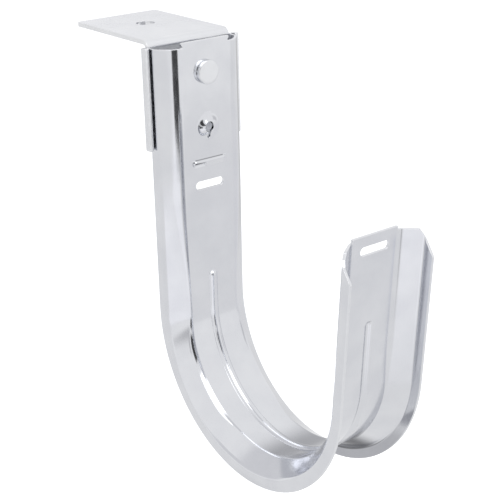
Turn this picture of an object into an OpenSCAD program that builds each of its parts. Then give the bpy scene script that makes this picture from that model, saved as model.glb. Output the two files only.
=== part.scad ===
// Hook for a bundle of cables, on an angle bracket that is screwed up to a ceiling.
//
// A stamped sheet strap is bent into a J. Its section is a shallow channel: a flat web that
// faces the cables, two flanges that fall back from it and two lips square to it. At the top
// the lips stand on the leg of a thicker angle bracket, between its two ears, and one rivet
// holds strap and bracket together.
//
// Frame: the origin is the centre of the ceiling hole, on the bracket's top face. +Z is up,
// +X runs across the strap, and the cables lie on the -Y side of the shank.

/* [Strap section] */
// Width of the flat web, from crease to crease
web_w = 25.4; // [22:0.2:30]
// How far each flange spreads to the side
flange_run = 9.8; // [8:0.2:12]
// How far each flange falls back from the web
flange_drop = 6.6; // [5.4:0.2:8]
// Depth of the channel, from the web's face to the edge of the lips
channel_d = 12; // [11:0.2:14]
// Thickness of the strap's sheet
sheet_t = 1.2; // [1:0.1:1.5]
// Inner radius of the strap's four long bends
bend_r = 1.6; // [1:0.1:2]

/* [Hook line] */
// Radius of the loop, at the face that the cables lie on
loop_r = 50.8; // [38:0.2:60]
// Length of the straight shank, from the web's top edge down to the loop
shank_l = 124.3; // [116:0.1:150]
// Length of the straight tip
tip_l = 69.8; // [58:0.1:90]
// How far the tip leans away from the shank, in degrees
tip_lean = 4.5; // [0:0.5:12]
// How far the web stands above the flanges at the top of the shank
shank_step = 2.4; // [1.6:0.1:4]
// How far the web stands above the flanges at the end of the tip
tip_step = 1.4; // [1.4:0.1:3]
// Radius of the small relief at each corner of the web
relief_r = 0.6; // [0.4:0.05:0.65]
// How far from its outer edge each flange is cut off at the tip, along the sheet
corner_start = 3; // [1:0.5:6]
// How far the cut runs down the tip for each millimetre that it runs across the sheet
corner_slope = 1.24; // [0.6:0.01:1.4]

/* [Rib] */
// Width of the stiffening rib at the web's face
rib_w = 4.4; // [3.4:0.1:6]
// Height of the rib over the web
rib_h = 1.3; // [1.25:0.05:1.6]
// From the web's top edge down to the rib's upper end
rib_top = 108; // [100:0.5:114]
// From the tip's end down to the rib's other end
rib_tip = 38.5; // [28:0.5:54]

/* [Strap slots] */
// Length of each slot
slot_l = 15.3; // [10:0.1:18]
// Height of each slot
slot_h = 3.8; // [2.5:0.1:4.5]
// From the web's top edge down to the middle of the shank's slot
slot_down = 65.5; // [64:0.5:90]
// From the end of the tip to the middle of the tip's slot
tip_slot_down = 6.5; // [5:0.1:20]

/* [Thread impression] */
// Diameter of the hole in the raised ring
screw_hole_d = 4.8; // [3.5:0.1:5.5]
// Diameter of the raised ring's foot
screw_ring_d = 9.6; // [8.6:0.1:12]
// Height of the ring's edge on its high side
screw_ring_h = 1.6; // [1:0.1:1.8]
// Drop of the ring's edge from its high side to its low side
screw_pitch = 0.8; // [0.4:0.1:1]
// Width of the slit that lets the ring rise
screw_slit = 0.6; // [0.4:0.1:1]
// From the web's top edge down to the middle of the hole
screw_down = 38.9; // [32:0.1:46]

/* [Retainer catch] */
// Length of the louvre
catch_l = 18.8; // [16:0.2:20]
// Height of the louvre, from its slit down to its foot
catch_h = 4; // [3.4:0.1:4.6]
// How far the louvre's upper edge stands out of the web
catch_out = 1.3; // [0.8:0.1:1.8]
// Height of the slit over the louvre
catch_slit = 0.5; // [0.4:0.1:0.8]
// From the web's top edge down to the slit
catch_down = 53.4; // [52:0.1:56]
// Length of the pocket at the louvre's left end
pocket_l = 6.6; // [5:0.1:8]
// Height of the pocket
pocket_h = 2.2; // [1.6:0.1:2.4]
// From the louvre's upper edge down to the middle of the pocket
pocket_down = 2.4; // [2.2:0.1:2.5]
// From the louvre's left end to the pocket
pocket_in = 0.9; // [0.6:0.1:1.2]
// Angle at which the pocket's floor falls back
pocket_angle = 17; // [12:1:22]

/* [Angle bracket] */
// Thickness of the bracket's sheet
bracket_t = 2; // [1.5:0.1:2.5]
// Width of the top plate
top_w = 44; // [30:0.5:45]
// From the leg's front face to the far edge of the top plate
top_l = 59; // [45:0.5:80]
// Diameter of the ceiling hole
ceiling_hole_d = 8.8; // [6:0.1:11]
// From the leg's front face to the middle of the ceiling hole
ceiling_hole_in = 34.5; // [20:0.5:38]
// Corner radius of the top plate
top_corner_r = 2; // [1:0.5:6]
// Inner radius of the fold between the top plate and the leg
fold_r = 1.4; // [1:0.1:2]
// Height of the bracket, from the top face to the foot of the leg
leg_h = 48.4; // [46:0.1:60]
// How far the ears stand out of the leg's front face
ear_out = 2.9; // [1.6:0.1:5]
// Inner radius of the bends at the ears
ear_bend_r = 0.4; // [0.3:0.1:0.6]
// Gap between the strap's lips and the ears
ear_gap = 0.7; // [0.2:0.05:1]
// From the bracket's top face down to the ears' upper ends
ear_down = 2.8; // [1.6:0.1:3]
// From the bracket's top face down to the strap's top edge
strap_down = 0.5; // [0.2:0.1:4]

/* [Rivet] */
// Diameter of the rivet's shank
rivet_d = 6.4; // [4:0.1:7]
// Diameter of the rivet's flat head
head_d = 10.8; // [9:0.1:13]
// Thickness of the flat head
head_t = 2.3; // [1.5:0.1:3]
// Radius of the head's rounded edge
head_edge_r = 0.4; // [0.3:0.1:1]
// Diameter of the closed end behind the leg
tail_d = 9.6; // [8:0.1:12]
// Thickness of the closed end
tail_t = 1.8; // [1:0.1:2.5]
// From the strap's top edge down to the rivet
rivet_down = 14.2; // [10:0.1:24]
// Gap all round the rivet's shank in its two holes
rivet_gap = 0.05; // [0.03:0.01:0.1]

/* [Hidden] */
$fn = 96;
cut = 2;                                      // how far a cut runs past the face it starts from

outer_r = bend_r + sheet_t;                   // the strap's bends, at the face of the web
flange_angle = atan2(flange_drop, flange_run);
lip_angle = 90 - flange_angle;
flange_l = norm([flange_run, flange_drop]);   // corner to corner, along the sheet
crease_set = outer_r * tan(flange_angle / 2); // from a bend's corner to where its arc starts
lip_set = outer_r * tan(lip_angle / 2);
strap_w = web_w + 2 * flange_run;

leg_y = -ceiling_hole_in;                     // the leg's front face
web_y = leg_y - channel_d;                    // the web's front face
strap_z = -strap_down;                        // the strap's top edge
loop_y = web_y - loop_r;
loop_z = strap_z - shank_l;
sweep = 180 - tip_lean;
join_l = 0.4;                                 // how far the tip's sheet runs into the loop
join_inset = 0.02;                            // and how far its faces lie inside the loop's

fold_outer = fold_r + bracket_t;
ear_outer = ear_bend_r + bracket_t;
bracket_w = strap_w + 2 * (ear_gap + bracket_t);
leg_flat = bracket_w / 2 - ear_outer;         // half of the leg, up to the ears' bends

rib_r = (pow(rib_w / 2, 2) + pow(rib_h, 2)) / (2 * rib_h);
rib_depth = rib_r - rib_h;                    // from the web's face back to the rib's centre
shank_rib = shank_l - rib_top - rib_w / 2;    // straight parts of the rib, up to its round ends
tip_rib = tip_l - rib_tip - rib_w / 2;

plated = "silver";

// ---- sheet metal in section: the front face is y = 0, and the sheet lies behind it ----
// Each piece can be drawn slightly thin, by an inset on both of its faces.

// A piece of a round ring, from straight down to the given angle
module ring_piece(r_out, thick, angle, inset = 0)
    translate([0, r_out])
        intersection() {
            difference() {
                circle(r_out - inset);
                circle(r_out - thick + inset);
            }
            translate([0, -2 * r_out]) square(2 * r_out);
            rotate(angle) translate([-2 * r_out, -2 * r_out]) square(2 * r_out);
        }

// Carries on from the end of a bend that starts at the origin
module after_bend(r_out, angle)
    translate([0, r_out])
        rotate(angle)
            translate([0, -r_out])
                children();

module half_strap_section(inset) {
    web_flat = web_w / 2 - crease_set;
    flange_flat = flange_l - crease_set - lip_set;
    lip_flat = channel_d - flange_drop - lip_set;
    thick = sheet_t - 2 * inset;
    translate([0, inset]) square([web_flat, thick]);
    translate([web_flat, 0]) {
        ring_piece(outer_r, sheet_t, flange_angle, inset);
        after_bend(outer_r, flange_angle) {
            translate([0, inset]) square([flange_flat, thick]);
            translate([flange_flat, 0]) {
                ring_piece(outer_r, sheet_t, lip_angle, inset);
                after_bend(outer_r, lip_angle)
                    translate([0, inset]) square([lip_flat - inset, thick]);
            }
        }
    }
}

module strap_section(inset = 0) {
    half_strap_section(inset);
    mirror([1, 0]) half_strap_section(inset);
}

// The rib or its groove in section, from the front down to the given depth
module rib_section(radius, depth)
    intersection() {
        translate([0, rib_depth]) circle(radius);
        translate([-rib_w, -rib_w]) square([2 * rib_w, rib_w + depth]);
    }

module ribbed_section(inset = 0)
    difference() {
        union() {
            strap_section(inset);
            rib_section(rib_r - inset, sheet_t - inset);
        }
        rib_section(rib_r - sheet_t + inset, sheet_t + cut);
    }

// One ear, which bends forward off the leg; the leg's front face is y = 0
module ear_section()
    translate([leg_flat, bracket_t])
        mirror([0, 1]) {
            ring_piece(ear_outer, bracket_t, 90);
            after_bend(ear_outer, 90) square([ear_out - ear_bend_r, bracket_t]);
        }

// A slot or any other flat shape is drawn with x across the strap and y up it
module slot_shape(length, height) {
    square([length - height, height], center = true);
    for (side = [-1, 1])
        translate([side * (length - height) / 2, 0]) circle(height / 2);
}

// ---- places along the strap: x across it, y back through the sheet, z towards the top ----

module on_shank(down)
    translate([0, web_y, strap_z - down])
        children();

module on_loop(angle)
    translate([0, loop_y, loop_z])
        rotate([-angle, 0, 0])
            translate([0, loop_r, 0])
                children();

// Measured from the end of the tip; here z runs from the end down towards the loop
module on_tip(down)
    on_loop(sweep)
        translate([0, 0, down - tip_l])
            children();

// Sweeps a section round the loop
module round_loop()
    translate([0, loop_y, loop_z])
        rotate([-90, 0, 90])
            rotate_extrude(angle = sweep)
                translate([loop_r, 0])
                    rotate(-90)
                        children();

// Cuts through the sheet a shape that is drawn flat on the web's face
module through_web()
    rotate([90, 0, 0])
        translate([0, 0, -sheet_t - cut])
            linear_extrude(sheet_t + 2 * cut)
                children();

// ---- hook ----

// The tip runs a little way into the loop, and its sheet is drawn a hair thinner, so that the
// two join cleanly at any lean.
module strap() {
    on_shank(shank_l - shank_rib) linear_extrude(shank_l - shank_rib) strap_section();
    on_shank(shank_l) linear_extrude(shank_rib) ribbed_section();
    round_loop() ribbed_section();
    on_tip(tip_l - tip_rib) linear_extrude(tip_rib + join_l) ribbed_section(join_inset);
    on_tip(0) linear_extrude(tip_l - tip_rib) strap_section(join_inset);
}

// Half of the rib's round end. It closes a bar that comes from +Z.
module rib_end(radius, depth)
    rotate([-90, 0, 0])
        rotate_extrude(angle = 180)
            intersection() {
                rib_section(radius, depth);
                translate([0, -rib_w]) square([2 * rib_w, rib_w + depth + cut]);
            }

module rib_ends() {
    on_shank(shank_l - shank_rib) mirror([0, 0, 1]) rib_end(rib_r, sheet_t);
    on_tip(tip_l - tip_rib) rib_end(rib_r - join_inset, sheet_t - join_inset);
}

module rib_end_grooves() {
    on_shank(shank_l - shank_rib)
        mirror([0, 0, 1])
            rib_end(rib_r - sheet_t, sheet_t + cut);
    on_tip(tip_l - tip_rib) rib_end(rib_r - sheet_t + join_inset, sheet_t + cut);
}

// Takes the flanges down at one end of the strap, with a round relief at the web's corners.
// It is drawn for an end that faces +Z at z = 0.
module end_step(step)
    for (side = [0, 1])
        mirror([side, 0, 0])
            translate([web_w / 2, -cut, -step]) {
                cube([flange_run + cut, channel_d + 2 * cut, step + cut]);
                translate([0, 0, relief_r])
                    rotate([-90, 0, 0])
                        cylinder(h = cut + 2 * sheet_t, r = relief_r);
            }

// Cuts the outer corner off flange and lip at the end of the tip, in one slanted plane that
// falls as fast along the flange as along the lip. The end faces -Z at z = 0.
module tip_corner() {
    share = (flange_l - corner_start) / flange_l;
    across = corner_slope * (flange_l - flange_drop) / flange_run;
    turn = atan(across);
    tilt = atan(corner_slope * cos(turn));
    translate([web_w / 2 + flange_run * share, flange_drop * share, tip_step])
        rotate([tilt, -turn, 0])
            translate([-4 * channel_d, -4 * channel_d, -8 * channel_d])
                cube(8 * channel_d);
}

// The raised ring round the screw hole, with its edge cut on a slant like one turn of a thread
module screw_ring() {
    edge_r = screw_hole_d / 2 + 0.5;
    slope = atan2(screw_pitch, 2 * edge_r);
    rotate([90, 0, 0])
        difference() {
            rotate_extrude()
                polygon([[screw_ring_d / 2, 0], [edge_r, screw_ring_h],
                         [screw_hole_d / 2, screw_ring_h], [screw_hole_d / 2, screw_ring_h - sheet_t],
                         [edge_r, screw_ring_h - sheet_t], [screw_ring_d / 2, -sheet_t]]);
            translate([-edge_r, 0, screw_ring_h])
                rotate([0, slope, 0])
                    translate([-2 * edge_r, -2 * edge_r, 0])
                        cube(6 * edge_r);
        }
}

module screw_slit_shape()
    translate([-screw_slit / 2, -screw_ring_d / 2])
        square([screw_slit, screw_ring_d / 2]);

// The louvre's outline on the web, with the slit at y = 0
module catch_shape()
    translate([0, -catch_h / 2])
        slot_shape(catch_l, catch_h);

// The louvre is the sheet inside the outline, tilted out of the web about its foot
module louvre()
    intersection() {
        through_web() catch_shape();
        translate([-catch_l / 2, 0, 0])
            rotate([90, 0, 90])
                linear_extrude(catch_l)
                    polygon([[0, -catch_h], [-catch_out, 0], [sheet_t - catch_out, 0],
                             [sheet_t, -catch_h]]);
    }

module catch_slit_shape()
    translate([catch_h / 2 - catch_l / 2, -catch_slit])
        square([catch_l - catch_h, catch_slit + cut / 10]);

module pocket_shape()
    translate([pocket_in - catch_l / 2, -pocket_down])
        intersection() {
            translate([pocket_l, 0]) slot_shape(2 * pocket_l, pocket_h);
            translate([0, -pocket_h / 2]) square([pocket_l, pocket_h]);
        }

// The pocket's floor is hinged at its left end and falls back behind the louvre
module pocket_floor()
    intersection() {
        rotate([90, 0, 0])
            translate([0, 0, -channel_d / 2])
                linear_extrude(channel_d)
                    pocket_shape();
        translate([pocket_in - catch_l / 2, 0, -catch_h])
            rotate([0, 0, pocket_angle])
                cube([pocket_l, sheet_t, catch_h]);
    }

module hook()
    color(plated)
        difference() {
            union() {
                difference() {
                    union() {
                        strap();
                        rib_ends();
                    }
                    rib_end_grooves();
                    on_shank(screw_down) through_web() circle(screw_ring_d / 2);
                    on_shank(catch_down) through_web() catch_shape();
                }
                on_shank(screw_down) screw_ring();
                on_shank(catch_down)
                    difference() {
                        louvre();
                        through_web() catch_slit_shape();
                        through_web() pocket_shape();
                    }
                on_shank(catch_down) pocket_floor();
            }
            on_shank(0) end_step(shank_step);
            on_tip(0) mirror([0, 0, 1]) end_step(tip_step);
            on_tip(0) tip_corner();
            on_tip(0) mirror([1, 0, 0]) tip_corner();
            on_shank(slot_down) through_web() slot_shape(slot_l, slot_h);
            on_tip(tip_slot_down) through_web() slot_shape(slot_l, slot_h);
            on_shank(rivet_down) through_web() circle(rivet_d / 2 + rivet_gap);
            on_shank(screw_down) through_web() screw_slit_shape();
        }

// ---- bracket ----

module top_plate_shape() {
    back = top_l - ceiling_hole_in;
    front = leg_y + fold_outer;
    translate([-top_w / 2, front])
        square([top_w, back - top_corner_r - front]);
    translate([-top_w / 2 + top_corner_r, front])
        square([top_w - 2 * top_corner_r, back - front]);
    for (side = [-1, 1])
        translate([side * (top_w / 2 - top_corner_r), back - top_corner_r])
            circle(top_corner_r);
}

module fold()
    translate([-top_w / 2, leg_y + fold_outer, -fold_outer])
        rotate([90, 0, 90])
            linear_extrude(top_w)
                rotate(180)
                    translate([0, -fold_outer])
                        ring_piece(fold_outer, bracket_t, 90);

module leg() {
    translate([-leg_flat, leg_y, -leg_h])
        cube([2 * leg_flat, bracket_t, leg_h - fold_outer]);
    for (side = [0, 1])
        mirror([side, 0, 0])
            translate([0, leg_y, -leg_h])
                linear_extrude(leg_h - ear_down)
                    ear_section();
}

module bracket()
    color(plated)
        difference() {
            union() {
                translate([0, 0, -bracket_t])
                    linear_extrude(bracket_t)
                        top_plate_shape();
                fold();
                leg();
            }
            cylinder(h = 4 * bracket_t, r = ceiling_hole_d / 2, center = true);
            on_shank(rivet_down)
                rotate([-90, 0, 0])
                    cylinder(h = channel_d + bracket_t + cut, r = rivet_d / 2 + rivet_gap);
        }

// ---- rivet ----

// Drawn along its axis, which runs from the front of the head to the closed end
module rivet_profile() {
    grip = channel_d + bracket_t;
    square([rivet_d / 2, head_t + grip + tail_t]);
    translate([0, head_edge_r]) square([head_d / 2, head_t - head_edge_r]);
    square([head_d / 2 - head_edge_r, head_t]);
    translate([head_d / 2 - head_edge_r, head_edge_r])
        intersection() {
            circle(head_edge_r);
            translate([0, -head_edge_r]) square(head_edge_r);
        }
    translate([0, head_t + grip]) square([tail_d / 2, tail_t]);
}

module rivet()
    color(plated)
        on_shank(rivet_down)
            translate([0, -head_t, 0])
                rotate([-90, 0, 0])
                    rotate_extrude()
                        rivet_profile();

hook();
bracket();
rivet();
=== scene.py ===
"""Looks for a J-shaped cable hook of plated sheet steel, riveted to its angle bracket.

Strap and bracket are formed sheets: each is laid out flat as (s, t), with s across the
sheet from its middle and t along it from its end, is trimmed there, and is then folded,
bent and pressed. Lengths in the classes are in millimetres, and the meshes in metres.
"""
import logging
import math
from collections.abc import Callable
from dataclasses import dataclass, field
from enum import Enum

import bpy
import numpy as np
from mathutils import Matrix, Vector


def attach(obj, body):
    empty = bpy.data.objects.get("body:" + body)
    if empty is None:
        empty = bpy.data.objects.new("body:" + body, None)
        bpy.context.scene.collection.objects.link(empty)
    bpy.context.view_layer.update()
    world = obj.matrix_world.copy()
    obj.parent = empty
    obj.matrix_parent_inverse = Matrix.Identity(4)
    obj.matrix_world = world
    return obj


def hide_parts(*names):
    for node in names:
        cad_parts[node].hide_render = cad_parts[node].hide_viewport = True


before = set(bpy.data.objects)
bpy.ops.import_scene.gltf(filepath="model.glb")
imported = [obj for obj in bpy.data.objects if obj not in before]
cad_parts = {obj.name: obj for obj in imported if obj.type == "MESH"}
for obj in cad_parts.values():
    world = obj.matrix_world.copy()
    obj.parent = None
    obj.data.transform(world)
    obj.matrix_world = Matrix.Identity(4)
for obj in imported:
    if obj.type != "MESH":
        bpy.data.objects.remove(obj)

Array = np.ndarray
Tree = bpy.types.ShaderNodeTree
Node = bpy.types.Node
Wire = tuple[Node, str | int, Node, str | int]
Face = tuple[int, ...]
MM = 0.001
HOOK_MIDDLE = Vector((0, -0.08, -0.1))
LOG = logging.getLogger("hook")


# ---------------------------------------------------------------- flat shapes

def box_depth(s: Array, t: Array, centre: tuple[float, float], half: tuple[float, float]) -> Array:
    """How deep points lie inside a rectangle.

    Args:
        s: Across the sheet.
        t: Along the sheet.
        centre: The rectangle's middle.
        half: Half of its width and of its height.

    Returns:
        The distance to its edge, positive inside.
    """
    ds, dt = np.abs(s - centre[0]) - half[0], np.abs(t - centre[1]) - half[1]
    outside = np.hypot(np.maximum(ds, 0), np.maximum(dt, 0))
    return -(outside + np.minimum(np.maximum(ds, dt), 0))


def slot_depth(s: Array, t: Array, centre: tuple[float, float], length: float, height: float) -> Array:
    """How deep points lie inside a slot with round ends that runs across the sheet.

    Args:
        s: Across the sheet.
        t: Along the sheet.
        centre: The slot's middle.
        length: The slot's length, ends included.
        height: The slot's height.

    Returns:
        The distance to its edge, positive inside.
    """
    ds = np.maximum(np.abs(s - centre[0]) - (length - height) / 2, 0)
    return height / 2 - np.hypot(ds, t - centre[1])


def ease(x: Array) -> Array:
    """A smooth step from 0 at x = 0 to 1 at x = 1."""
    x = np.clip(x, 0, 1)
    return x * x * (3 - 2 * x)


def unit(rows: Array) -> Array:
    """Rows scaled to a length of 1."""
    return rows / np.maximum(np.linalg.norm(rows, axis=-1, keepdims=True), 1e-12)


def graded(*spans: tuple[float, float, float]) -> Array:
    """Joins spans into one rising row of grid lines.

    Args:
        *spans: Each span's start, its stop and the widest step in it.

    Returns:
        The grid lines, with both ends of every span among them.
    """
    rows = [np.linspace(a, b, max(1, math.ceil((b - a) / step - 1e-6)) + 1) for a, b, step in spans]
    return np.unique(np.round(np.concatenate(rows), 6))


# ---------------------------------------------------------------- scene helpers

def linked(name: str, data: bpy.types.ID) -> bpy.types.Object:
    """Puts a new object in the scene.

    Args:
        name: Its name.
        data: Its mesh, lamp or camera.

    Returns:
        The object.
    """
    obj = bpy.data.objects.new(name, data)
    bpy.context.collection.objects.link(obj)
    return obj


def mark(mesh: bpy.types.Mesh, name: str, values: Array) -> None:
    """Writes one value for each point of a mesh, as an attribute with a name."""
    mesh.attributes.new(name, "FLOAT", "POINT").data.foreach_set("value", values.astype(np.float32))


# ---------------------------------------------------------------- formed sheet

@dataclass
class Section:
    """Half of a bent sheet's cross section: straight runs joined by round bends.

    Attributes:
        stations: Where each corner lies across the blank, from the middle outwards.
        corners: Each corner's place across the part and its depth behind the face.
        radii: Each bend's radius at the face.
        last: Direction of the last run, across and in depth.
    """

    stations: list[Array]
    corners: list[tuple[Array, Array]]
    radii: list[Array]
    last: tuple[float, float]

    def point(self, u: Array) -> tuple[Array, Array]:
        """Finds points of the section.

        Args:
            u: Distance across the blank from its middle.

        Returns:
            Their place across the part and their depth behind the face.
        """
        before = (np.zeros_like(u), np.zeros_like(u))
        at_before = np.zeros_like(u)
        x, d = u.copy(), np.zeros_like(u)
        for k, (station, corner, radius) in enumerate(zip(self.stations, self.corners, self.radii)):
            run = (corner[0] - before[0], corner[1] - before[1])
            length = np.hypot(*run)
            ahead = (run[0] / length, run[1] / length)
            stretch = length / (station - at_before)
            if k + 1 < len(self.corners):
                nxt = (self.corners[k + 1][0] - corner[0], self.corners[k + 1][1] - corner[1])
                reach = np.hypot(*nxt)
                after, grow = (nxt[0] / reach, nxt[1] / reach), reach / (self.stations[k + 1] - station)
            else:
                after, grow = self.last, 1.0
            cross = ahead[0] * after[1] - ahead[1] * after[0]
            turn = np.abs(np.arctan2(cross, ahead[0] * after[0] + ahead[1] * after[1]))
            side = np.sign(cross)
            set_back = radius * np.tan(turn / 2)
            over = u - station
            over = np.where(over < 0, over * stretch, over * grow)
            part = np.clip((over + set_back) / (2 * set_back), 0, 1) * turn
            along, rise = radius * np.sin(part) - set_back, radius * (1 - np.cos(part))
            arc = (corner[0] + along * ahead[0] - rise * side * ahead[1],
                   corner[1] + along * ahead[1] + rise * side * ahead[0])
            flat = (corner[0] + over * after[0], corner[1] + over * after[1])
            past = over > set_back
            bend = (over > -set_back) & ~past
            x = np.where(bend, arc[0], np.where(past, flat[0], x))
            d = np.where(bend, arc[1], np.where(past, flat[1], d))
            before, at_before = corner, station
        return x, d


@dataclass
class FormedSheet:
    """A flat blank that is trimmed, pressed, folded along creases and bent along its length.

    Attributes:
        thickness: Thickness of the sheet.
        columns: Grid lines across half of the blank, from its middle.
        rows: Grid lines along the blank.
        section: Gives the half section for places along the blank.
        spine: Gives, for places along the blank, y and z of the face and of the way into it.
        outline: Gives how deep points of the blank lie inside the metal.
        pressing: Gives how far points of the blank are pressed out of the face.
        rim: Radius of the broken edge all round.
        painted_gap_shade: Gives painted shade for the narrow gaps of the blank, where there are any.
        covered: Gives where the next sheet covers the blank and keeps it from being polished.
    """

    thickness: float
    columns: Array
    rows: Array
    section: Callable[[Array], Section]
    spine: Callable[[Array], tuple[Array, Array, Array, Array]]
    outline: Callable[[Array, Array], Array]
    pressing: Callable[[Array, Array], Array]
    rim: float = 0.12
    painted_gap_shade: Callable[[Array, Array], Array] | None = None
    covered: Callable[[Array, Array], Array] | None = None

    def place(self, s: Array, t: Array) -> Array:
        """Puts points of the blank on the formed face.

        Args:
            s: Across the blank.
            t: Along the blank.

        Returns:
            One row of x, y and z for each point.
        """
        x, d = self.section(t).point(np.abs(s))
        y, z, into_y, into_z = self.spine(t)
        d = d - self.pressing(s, t)
        return np.stack([np.sign(s) * x, y + d * into_y, z + d * into_z], axis=-1)

    def facing(self, s: Array, t: Array) -> Array:
        """Finds the face's outward normals.

        Args:
            s: Across the blank.
            t: Along the blank.

        Returns:
            One unit normal for each point.
        """
        e = 0.02
        ps = self.place(s + e, t) - self.place(s - e, t)
        pt = self.place(s, t + e) - self.place(s, t - e)
        return unit(np.cross(pt, ps))

    @staticmethod
    def beside_outline(depth: Array) -> Array:
        """Marks the nearer of two neighbours wherever a grid line crosses the outline.

        Args:
            depth: How deep each grid point lies inside the metal.

        Returns:
            True for the marked points.
        """
        beside = np.zeros(depth.shape, bool)
        for marks, f in ((beside, depth), (beside.T, depth.T)):
            crossed = (f[:-1] > 0) != (f[1:] > 0)
            nearer = np.abs(f[:-1]) <= np.abs(f[1:])
            marks[:-1] |= crossed & nearer
            marks[1:] |= crossed & ~nearer
        return beside

    def on_outline(self, s: Array, t: Array) -> tuple[Array, Array]:
        """Moves points on to the outline.

        Args:
            s: Across the blank.
            t: Along the blank.

        Returns:
            The moved points' s and t.
        """
        e = 1e-3
        for _ in range(4):
            depth = self.outline(s, t)
            across = (self.outline(s + e, t) - self.outline(s - e, t)) / (2 * e)
            along = (self.outline(s, t + e) - self.outline(s, t - e)) / (2 * e)
            steep = np.maximum(across * across + along * along, 0.25)
            s, t = s - depth * across / steep, t - depth * along / steep
        return s, t

    def trimmed(self) -> tuple[Array, Array, list[Face]]:
        """Cuts the grid to the outline, and moves its border points on to it.

        Returns:
            The s and t of the points that stay, and the faces between them.
        """
        s, t = np.meshgrid(np.concatenate([-self.columns[:0:-1], self.columns]), self.rows)
        depth = self.outline(s, t)
        beside = self.beside_outline(depth)
        s[beside], t[beside] = self.on_outline(s[beside], t[beside])
        s, t, state = s.ravel(), t.ravel(), np.where(beside, 0, np.where(depth > 0, 1, -1)).ravel()
        index = np.arange(depth.size).reshape(depth.shape)
        quads = np.stack([index[:-1, :-1], index[:-1, 1:], index[1:, 1:], index[1:, :-1]], -1).reshape(-1, 4)
        states = state[quads]
        whole = (states >= 0).all(1)
        middle = self.outline(s[quads].mean(1), t[quads].mean(1))
        faces = [tuple(quad) for quad in quads[whole & ((states > 0).any(1) | (middle > 0))].tolist()]
        for quad, corners in zip(quads[~whole].tolist(), states[~whole]):
            keep = [v for v, corner in zip(quad, corners) if corner >= 0]
            if len(keep) == 3:
                centre = self.outline(s[keep].mean(keepdims=True), t[keep].mean(keepdims=True))
                if centre[0] > 0:
                    faces.append(tuple(keep))
        used = sorted({v for face in faces for v in face})
        number = {v: k for k, v in enumerate(used)}
        return s[used], t[used], [tuple(number[v] for v in face) for face in faces]

    @staticmethod
    def cut_edge(faces: list[Face], points: Array, normals: Array) -> tuple[list[Face], Array, Array]:
        """Finds the cut edge.

        Args:
            faces: The faces, which all run the same way round.
            points: The points.
            normals: The points' outward normals.

        Returns:
            The edge's pairs of points, its points, and at each the way out of the metal, or into it
            where the faces run the wrong way round.
        """
        directed = {(face[i], face[(i + 1) % len(face)]) for face in faces for i in range(len(face))}
        border = [(a, b) for a, b in directed if (b, a) not in directed]
        first, second = np.array(border).T
        away = np.cross(unit(points[second] - points[first]), (normals[first] + normals[second]) / 2)
        outward = np.zeros_like(points)
        np.add.at(outward, first, away)
        np.add.at(outward, second, away)
        edge = np.unique(border)
        return border, edge, unit(outward[edge])

    def rim_steps(self) -> list[tuple[float, float, float, float]]:
        """Rounds the cut edge, from the face to the back.

        Returns:
            Each step's reach out of the edge and its depth, and its normal's outward and forward parts.
        """
        r, turns = self.rim, (math.pi / 4, math.pi / 2)
        front = [(math.sin(a) * r, (1 - math.cos(a)) * r, math.sin(a), math.cos(a)) for a in turns]
        back = [(reach, self.thickness - depth, out, -forward) for reach, depth, out, forward in front[::-1]]
        return front + back

    @staticmethod
    def closed(faces: list[Face], border: list[Face], edge: Array, count: int, steps: int) -> list[Face]:
        """Joins the face to the back round the cut edge.

        Args:
            faces: The faces of the front.
            border: The cut edge's pairs of points.
            edge: The cut edge's points.
            count: How many points the front has, and the back too.
            steps: How many steps round the cut edge, each with the edge's points once more.

        Returns:
            All faces of the closed sheet.
        """
        at = {int(v): 2 * count + k for k, v in enumerate(edge)}
        polygons = faces + [tuple(v + count for v in face[::-1]) for face in faces]
        for pair in border:
            a, b = ([v, *(at[v] + k * edge.size for k in range(steps)), v + count] for v in pair)
            polygons += [(b[i], a[i], a[i + 1], b[i + 1]) for i in range(steps + 1)]
        return polygons

    def mesh(self, name: str) -> bpy.types.Object:
        """Builds the sheet as a closed mesh with rounded cut edges.

        Args:
            name: The piece's name.

        Returns:
            The new object, linked to the scene.
        """
        s, t, faces = self.trimmed()
        front, normals = self.place(s, t), self.facing(s, t)
        border, edge, away = self.cut_edge(faces, front, normals)
        winding = self.winding(faces[0], front, normals)
        away = away * winding
        flat = np.stack([s, t, np.zeros_like(s)], -1)
        points, directions = [front, front - normals * self.thickness], [normals, -normals]
        laid = [flat, flat + [0, 0, self.thickness]]
        steps = self.rim_steps()
        for reach, depth, out, forward in steps:
            points.append(front[edge] + away * reach - normals[edge] * depth)
            directions.append(away * out + normals[edge] * forward)
            laid.append(flat[edge] + [0, 0, depth])
        polygons = self.closed(faces, border, edge, s.size, len(steps))
        if winding < 0:
            polygons = [polygon[::-1] for polygon in polygons]
        mesh = bpy.data.meshes.new(name)
        mesh.from_pydata((np.concatenate(points) * MM).tolist(), [], polygons)
        mesh.validate()
        mesh.shade_smooth()
        mesh.normals_split_custom_set_from_vertices(unit(np.concatenate(directions)).tolist())
        places = np.concatenate(laid)
        laid_flat = mesh.attributes.new("laid_flat", "FLOAT_VECTOR", "POINT")
        laid_flat.data.foreach_set("vector", (places * MM).astype(np.float32).ravel())
        inside = self.outline(s, t)
        mark(mesh, "from_edge", np.concatenate([inside, inside, np.zeros(edge.size * len(steps))]))
        # The first of these attributes carries the painted shade of the gaps.
        for key, rule in (("painted_gap_shade", self.painted_gap_shade), ("covered", self.covered)):
            mark(mesh, key, rule(places[:, 0], places[:, 1]) if rule else np.zeros(len(places)))
        return linked(name, mesh)

    @staticmethod
    def winding(face: tuple[int, ...], points: Array, normals: Array) -> float:
        """Tells whether a face runs round its outward normal the right way: 1 or -1."""
        a, b, c = (points[v] for v in face[:3])
        return 1.0 if float(np.dot(np.cross(b - a, c - a), normals[face[0]])) > 0 else -1.0


# ---------------------------------------------------------------- hook

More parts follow.
